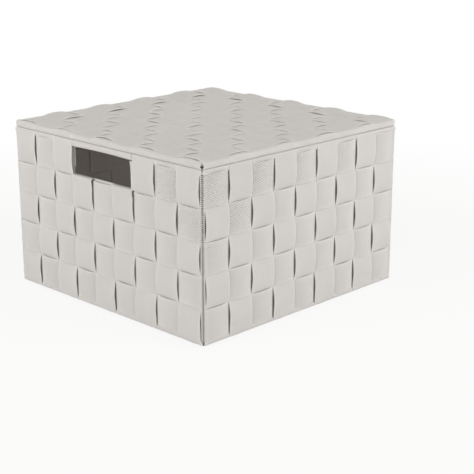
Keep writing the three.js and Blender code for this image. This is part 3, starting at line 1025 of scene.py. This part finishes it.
def strap_material(name, colours, knot_height, dot_strength):
    """Matt woven strip: fine knots, rows of darker dots, fibres, soft mottling, and pale edges that
    are partly worn and partly a painted highlight.

    The dots are the product of two cosines, one along the strap and one across it, and the
    knots are such a product at the yarns' pitch. The dots are clearest near the top of one
    corner, by a slope over the object's own coordinates, and two noises make them come and
    go. The strap is paler at its edges, partly worn and partly as a painted highlight. Where it
    is creased hard, shade is painted in as a darker colour, with a ladder of ribs that fades as
    the dots do.
    """
    material = bpy.data.materials.new(name)
    nodes = Nodes(material)
    uv = nodes.strap_map()
    run, width, _ = nodes.split(uv)
    along = nodes.scaled(run, math.pi / DOT_LENGTH)
    across = nodes.scaled(width, math.pi / DOT_WIDTH)
    knots = nodes.lattice(nodes.scaled(along, YARNS / 2), nodes.scaled(across, YARNS / 2))
    patches = nodes.scaled(nodes.noise(uv, PATCH_SCALE, 1), PATCHINESS)
    patches = nodes.math("SUBTRACT", patches, DOT_LEVEL)
    for out, slope in zip(nodes.split(nodes.own_place()), DOT_SLOPES):
        patches = nodes.math("ADD", patches, nodes.scaled(out, slope))
    patches = nodes.math("MAXIMUM", patches, DOT_RANGE[0])
    patches = nodes.math("MINIMUM", patches, DOT_RANGE[1])
    specks = nodes.scaled(nodes.noise(uv, SPECK_SCALE, 1), SPECK_STRENGTH)
    strength = nodes.math("MULTIPLY", patches, nodes.math("SUBTRACT", specks, SPECK_LEVEL))
    dots = nodes.math("MULTIPLY", nodes.lattice(along, across), strength)
    ribs = nodes.math("COSINE", nodes.scaled(width, 2 * math.pi / RIB_PITCH))
    ribs = nodes.math("MULTIPLY", ribs, nodes.scaled(patches, RIB_SHARE))
    coarse, fine, level = FIBRE_SCALES
    lengthwise = nodes.scaled(nodes.fibres(uv, (coarse, fine, level)), LENGTHWISE)
    crosswise = nodes.scaled(nodes.fibres(uv, (fine, coarse, level)), 1 - LENGTHWISE)
    fibres = nodes.math("ADD", lengthwise, crosswise)
    mottle = nodes.noise(uv, MOTTLE_SCALE)
    tone = nodes.noise(uv, TONE_SCALE, 1)
    crease = nodes.attribute("Crease")
    wear_and_highlight = nodes.math("MULTIPLY", nodes.attribute("Edge"), nodes.noise(uv, WEAR_AND_HIGHLIGHT_SCALE))

    share = nodes.math("SUBTRACT", 0.5, nodes.scaled(dots, dot_strength))
    for part, amount in ((mottle, MOTTLE), (tone, TONE), (fibres, FIBRES), (knots, KNOTS)):
        part = nodes.math("SUBTRACT", part, 0.5)
        share = nodes.math("ADD", share, nodes.scaled(part, amount))
    # Pale edges: partly worn, partly a painted highlight.
    share = nodes.math("ADD", share, nodes.scaled(wear_and_highlight, EDGE_WEAR_AND_HIGHLIGHT))
    colour = nodes.colours(share, *[rgba(colours.strap, factor) for factor in COLOUR_RANGE])
    # Painted shade in a hard crease: the dark crease colour is mixed in by the crease's mask, more
    # on its ribs.
    folded = nodes.math("ADD", nodes.scaled(ribs, CREASE_SHADE_RIBS), CREASE_SHADE)
    folded = nodes.math("MULTIPLY", crease, folded)

    height = nodes.scaled(fibres, FIBRE_RELIEF)
    height = nodes.math("ADD", height, nodes.scaled(knots, knot_height))
    height = nodes.math("SUBTRACT", height, nodes.scaled(dots, DOT_RELIEF * dot_strength))
    ladder = nodes.scaled(nodes.math("MULTIPLY", ribs, crease), RIB_RELIEF)
    rough, smoothest = STRAP_ROUGHNESS
    shader = nodes.add("ShaderNodeBsdfPrincipled", {
        "Base Color": nodes.colours(folded, colour, rgba(colours.crease)),
        "Roughness": nodes.math("ADD", nodes.scaled(mottle, rough), smoothest),
        "Normal": nodes.bump(nodes.math("ADD", height, ladder), STRAP_BUMP),
        "Specular IOR Level": STRAP_GLOSS,
        "Subsurface Weight": 1.0,
        "Subsurface Radius": SCATTER_SHARES,
        "Subsurface Scale": SCATTER_DEPTH,
    })
    nodes.add("ShaderNodeOutputMaterial", {"Surface": shader[0]})
    return material


WIRE_LINES = (30, 2600, 1)
WIRE_CLOUDS = 130
WIRE_RANGE = (0.8, 1.25)
WIRE_BUMP = 0.02 * MM
WIRE_ROUGHNESS = (0.25, 0.38)  # from the lines, and at least


def wire_material(name, colours):
    """Drawn steel: fine lines along the wire and a dull, uneven sheen."""
    material = bpy.data.materials.new(name)
    nodes = Nodes(material)
    uv = nodes.strap_map()
    lines = nodes.fibres(uv, WIRE_LINES)
    shades = [rgba(colours.wire, factor) for factor in WIRE_RANGE]
    rough, smoothest = WIRE_ROUGHNESS
    shader = nodes.add("ShaderNodeBsdfPrincipled", {
        "Base Color": nodes.colours(nodes.noise(uv, WIRE_CLOUDS), *shades),
        "Metallic": 1.0,
        "Roughness": nodes.math("ADD", nodes.scaled(lines, rough), smoothest),
        "Normal": nodes.bump(lines, WIRE_BUMP),
    })
    nodes.add("ShaderNodeOutputMaterial", {"Surface": shader[0]})
    return material


FLOOR_HALF = 6.0
FLOOR_COLOUR = (0.86, 0.86, 0.855, 1)
FLOOR_GLOW = 0.86  # share of plain white in the floor beside the box
FLOOR_NEAR, FLOOR_FAR = 0.26, 0.75  # the plain white grows to all of it between these distances


def floor_material(name):
    """A white floor that keeps a soft shadow: mostly plain white, partly lit."""
    material = bpy.data.materials.new(name)
    nodes = Nodes(material)
    distance = nodes.add("ShaderNodeVectorMath", {0: nodes.own_place()}, operation="LENGTH")
    grow = nodes.add("ShaderNodeMapRange", {
        0: distance["Value"], 1: FLOOR_NEAR, 2: FLOOR_FAR, 3: FLOOR_GLOW, 4: 1.0,
    }, interpolation_type="SMOOTHSTEP")
    share = nodes.math("MULTIPLY", nodes.seen_directly(), grow[0])
    lit = nodes.add("ShaderNodeBsdfDiffuse", {"Color": FLOOR_COLOUR})[0]
    glow = nodes.add("ShaderNodeEmission", {"Strength": 1.0})[0]
    nodes.add("ShaderNodeOutputMaterial", {"Surface": nodes.blended(share, lit, glow)})
    return material


def shared_material(name, make, *values):
    """The material of that name, made the first time that it is asked for."""
    return bpy.data.materials.get(name) or make(name, *values)


FINISHES = {
    "climbing": ("strap", "Climbing strap", strap_material, CLIMBING_WEAVE),
    "hoop": ("strap", "Hoop strap", strap_material, HOOP_WEAVE),
    "wire": ("wire", "Drawn wire", wire_material, ()),
}


def dress(context, mesh, node, body, finish):
    """Puts a finished mesh into the scene in place of a frame node."""
    slot, title, make, values = FINISHES[finish]
    colours = context.scene.strap_box_colours
    mesh.materials.append(shared_material(title, make, colours, *values))
    piece = bpy.data.objects.new(mesh.name, mesh)
    context.scene.collection.objects.link(piece)
    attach(piece, body)
    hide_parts(node)


def dress_columns(context, make, title, node, body):
    """Makes and dresses the straps of both directions, a strap in each column."""
    for axis in "xy":
        for column in range(COLUMNS):
            name = f"{title}_{axis}{column + 1}"
            mesh = make(name, axis, column, context.scene.strap_box_sizes)
            dress(context, mesh, f"{node}_{axis}{column + 1}", body, "climbing")


# Camera and light

BOX_CENTRE = (0, 0, 0.07)
CAMERA_AZIMUTH = 44.52
CAMERA_ELEVATION = 16.78
CAMERA_DISTANCE = 1.089
CAMERA_TARGET = (0.0197, 0.0193, 0.0410)
CAMERA_LENS = 91.2
CAMERA_RANGE = (0.05, 30)
SOFTBOX_SIZE = (1.6, 1.2)
SOFTBOX_COLOUR = (0.97, 0.97, 1.0)
SOFTBOXES = (
    ("left_softbox", (-0.55, -1.92, 0.75), 21.4),
    ("right_softbox", (1.8, 0.9, 0.75), 24.2),
)
FILL_PLACE = (0.03, -0.04, 0.08)
FILL_POWER = 0.047
FILL_RADIUS = 0.06
FILL_COLOUR = (1.0, 0.93, 0.83)
AMBIENT_COLOUR = (1.0, 0.973, 0.875, 1)
AMBIENT_STRENGTH = 0.515


def aimed(thing, place, target):
    """Sets an object at a place, looking at a target."""
    thing.location = place
    thing.rotation_euler = (Vector(target) - Vector(place)).to_track_quat("-Z", "Y").to_euler()
    bpy.context.scene.collection.objects.link(thing)


def make_floor(scene):
    mesh = bpy.data.meshes.new("floor")
    corners = [(x * FLOOR_HALF, y * FLOOR_HALF, 0) for x, y in ((-1, -1), (1, -1), (1, 1), (-1, 1))]
    mesh.from_pydata(corners, [], [(0, 1, 2, 3)])
    mesh.materials.append(shared_material("Floor", floor_material))
    floor = bpy.data.objects.new("floor", mesh)
    scene.collection.objects.link(floor)


def make_camera(scene):
    camera = bpy.data.cameras.new("camera")
    camera.lens = CAMERA_LENS
    camera.clip_start, camera.clip_end = CAMERA_RANGE
    azimuth, elevation = math.radians(CAMERA_AZIMUTH), math.radians(CAMERA_ELEVATION)
    back = Vector((
        math.sin(azimuth) * math.cos(elevation),
        -math.cos(azimuth) * math.cos(elevation), math.sin(elevation),
    ))
    viewer = bpy.data.objects.new("camera", camera)
    target = Vector(CAMERA_TARGET)
    aimed(viewer, target + back * CAMERA_DISTANCE, target)
    scene.camera = viewer


def make_lights(scene):
    """Two softboxes, and a weak lamp that stands for the light that the straps let in."""
    for name, place, power in SOFTBOXES:
        light = bpy.data.lights.new(name, "AREA")
        light.shape = "RECTANGLE"
        light.size, light.size_y = SOFTBOX_SIZE
        light.energy = power
        light.color = SOFTBOX_COLOUR
        aimed(bpy.data.objects.new(name, light), place, BOX_CENTRE)
    lamp = bpy.data.lights.new("interior_fill", "POINT")
    lamp.energy = FILL_POWER
    lamp.shadow_soft_size = FILL_RADIUS
    lamp.color = FILL_COLOUR
    fill = bpy.data.objects.new("interior_fill", lamp)
    fill.location = FILL_PLACE
    fill.visible_camera = False
    scene.collection.objects.link(fill)


def make_world(scene):
    """A soft warm light from all sides, which is plain white where it is seen."""
    world = bpy.data.worlds.new("studio")
    nodes = Nodes(world)
    soft = {"Color": AMBIENT_COLOUR, "Strength": AMBIENT_STRENGTH}
    ambient = nodes.add("ShaderNodeBackground", soft)[0]
    white = nodes.add("ShaderNodeBackground", {"Color": (1, 1, 1, 1), "Strength": 1.0})[0]
    both = nodes.blended(nodes.seen_directly(), ambient, white)
    nodes.add("ShaderNodeOutputWorld", {"Surface": both})
    scene.world = world


# Operators


class STRAPBOX_OT_stage(bpy.types.Operator):
    """Make the floor, the soft lights and the camera"""

    bl_idname = "strap_box.stage"
    bl_label = "Stage"

    def execute(self, context):
        scene = context.scene
        make_floor(scene)
        make_camera(scene)
        make_lights(scene)
        make_world(scene)
        scene.view_settings.view_transform = "Standard"
        return {"FINISHED"}


class STRAPBOX_OT_climbing_straps(bpy.types.Operator):
    """Make the straps that climb the sides and cross the underside"""

    bl_idname = "strap_box.climbing_straps"
    bl_label = "Climbing Straps"

    def execute(self, context):
        dress_columns(context, climbing_strap, "climbing_strap", "body_strap", "box")
        return {"FINISHED"}


class STRAPBOX_OT_hoops(bpy.types.Operator):
    """Make the hoops round the sides, the top one in two halves"""

    bl_idname = "strap_box.hoops"
    bl_label = "Hoops"

    def execute(self, context):
        sizes = context.scene.strap_box_sizes
        for half, (side, reach) in enumerate(FOLD_REACH.items()):
            mesh = split_hoop(f"top_hoop_{side}", half, reach, sizes)
            dress(context, mesh, f"hoop_1_{side}", "box", "hoop")
        for row in range(1, ROWS):
            mesh = whole_hoop(f"hoop_strap_{row + 1}", row, sizes)
            dress(context, mesh, f"hoop_{row + 1}", "box", "hoop")
        return {"FINISHED"}


class STRAPBOX_OT_handle_wraps(bpy.types.Operator):
    """Make the straps rolled round the rim wire above the handle holes"""

    bl_idname = "strap_box.handle_wraps"
    bl_label = "Handle Wraps"

    def execute(self, context):
        sizes = context.scene.strap_box_sizes
        for name, side in (("front", -1), ("rear", 1)):
            mesh = handle_wrap(f"handle_roll_{name}", side, sizes)
            dress(context, mesh, f"handle_wrap_{name}", "box", "climbing")
        return {"FINISHED"}


class STRAPBOX_OT_lid_straps(bpy.types.Operator):
    """Make the lid's woven straps"""

    bl_idname = "strap_box.lid_straps"
    bl_label = "Lid Straps"

    def execute(self, context):
        dress_columns(context, lid_strap, "lid_weave", "lid_strap", "lid")
        return {"FINISHED"}


class STRAPBOX_OT_wires(bpy.types.Operator):
    """Make the frame wires, the corner posts and the lid's locating wire"""

    bl_idname = "strap_box.wires"
    bl_label = "Wires"

    def execute(self, context):
        for node, body, height in (
            ("base_wire", "box", BASE_Z), ("rim_wire", "box", RIM_Z), ("lid_wire", "lid", LID_Z),
        ):
            mesh = ring_wire(f"{node}_ring", RING_HALF, FRAME_BEND, height, WIRE_RADIUS)
            dress(context, mesh, node, body, "wire")
        mesh = ring_wire("locating_ring", LOCATING_HALF, LOCATING_BEND, LOCATING_Z, LOCATING_RADIUS)
        dress(context, mesh, "lid_locating_wire", "lid", "wire")
        for corner in range(1, 5):
            mesh = post_wire(f"post_{corner}", f"corner_post_{corner}")
            dress(context, mesh, f"corner_post_{corner}", "box", "wire")
        return {"FINISHED"}


class STRAPBOX_OT_keepers(bpy.types.Operator):
    """Make the short straps that hold the locating wire to the lid"""

    bl_idname = "strap_box.keepers"
    bl_label = "Lid Keepers"

    def execute(self, context):
        sizes = context.scene.strap_box_sizes
        for quarter, side in enumerate(("right", "rear", "left", "front")):
            mesh = keeper(f"keeper_{side}", quarter, sizes)
            dress(context, mesh, f"lid_keeper_{side}", "lid", "climbing")
        return {"FINISHED"}


OPERATORS = (
    STRAPBOX_OT_stage,
    STRAPBOX_OT_climbing_straps,
    STRAPBOX_OT_hoops,
    STRAPBOX_OT_handle_wraps,
    STRAPBOX_OT_lid_straps,
    STRAPBOX_OT_wires,
    STRAPBOX_OT_keepers,
)


class STRAPBOX_PT_panel(bpy.types.Panel):
    """The box's sizes, colours and makers"""

    bl_idname = "STRAPBOX_PT_panel"
    bl_label = "Strap Box"
    bl_space_type = "VIEW_3D"
    bl_region_type = "UI"
    bl_category = "Strap Box"

    def draw(self, context):
        layout = self.layout
        for group in (context.scene.strap_box_sizes, context.scene.strap_box_colours):
            for name in group.__annotations__:
                layout.prop(group, name)
        for operator in OPERATORS:
            layout.operator(operator.bl_idname)


CLASSES = (StrapBoxSizes, StrapBoxColours, *OPERATORS, STRAPBOX_PT_panel)


def register():
    for one in CLASSES:
        bpy.utils.register_class(one)
    bpy.types.Scene.strap_box_sizes = PointerProperty(type=StrapBoxSizes)
    bpy.types.Scene.strap_box_colours = PointerProperty(type=StrapBoxColours)


def unregister():
    del bpy.types.Scene.strap_box_colours
    del bpy.types.Scene.strap_box_sizes
    for one in reversed(CLASSES):
        bpy.utils.unregister_class(one)


def main():
    register()
    bpy.ops.strap_box.stage()
    bpy.ops.strap_box.climbing_straps()
    bpy.ops.strap_box.hoops()
    bpy.ops.strap_box.handle_wraps()
    bpy.ops.strap_box.lid_straps()
    bpy.ops.strap_box.wires()
    bpy.ops.strap_box.keepers()


if __name__ == "__main__":
    main()
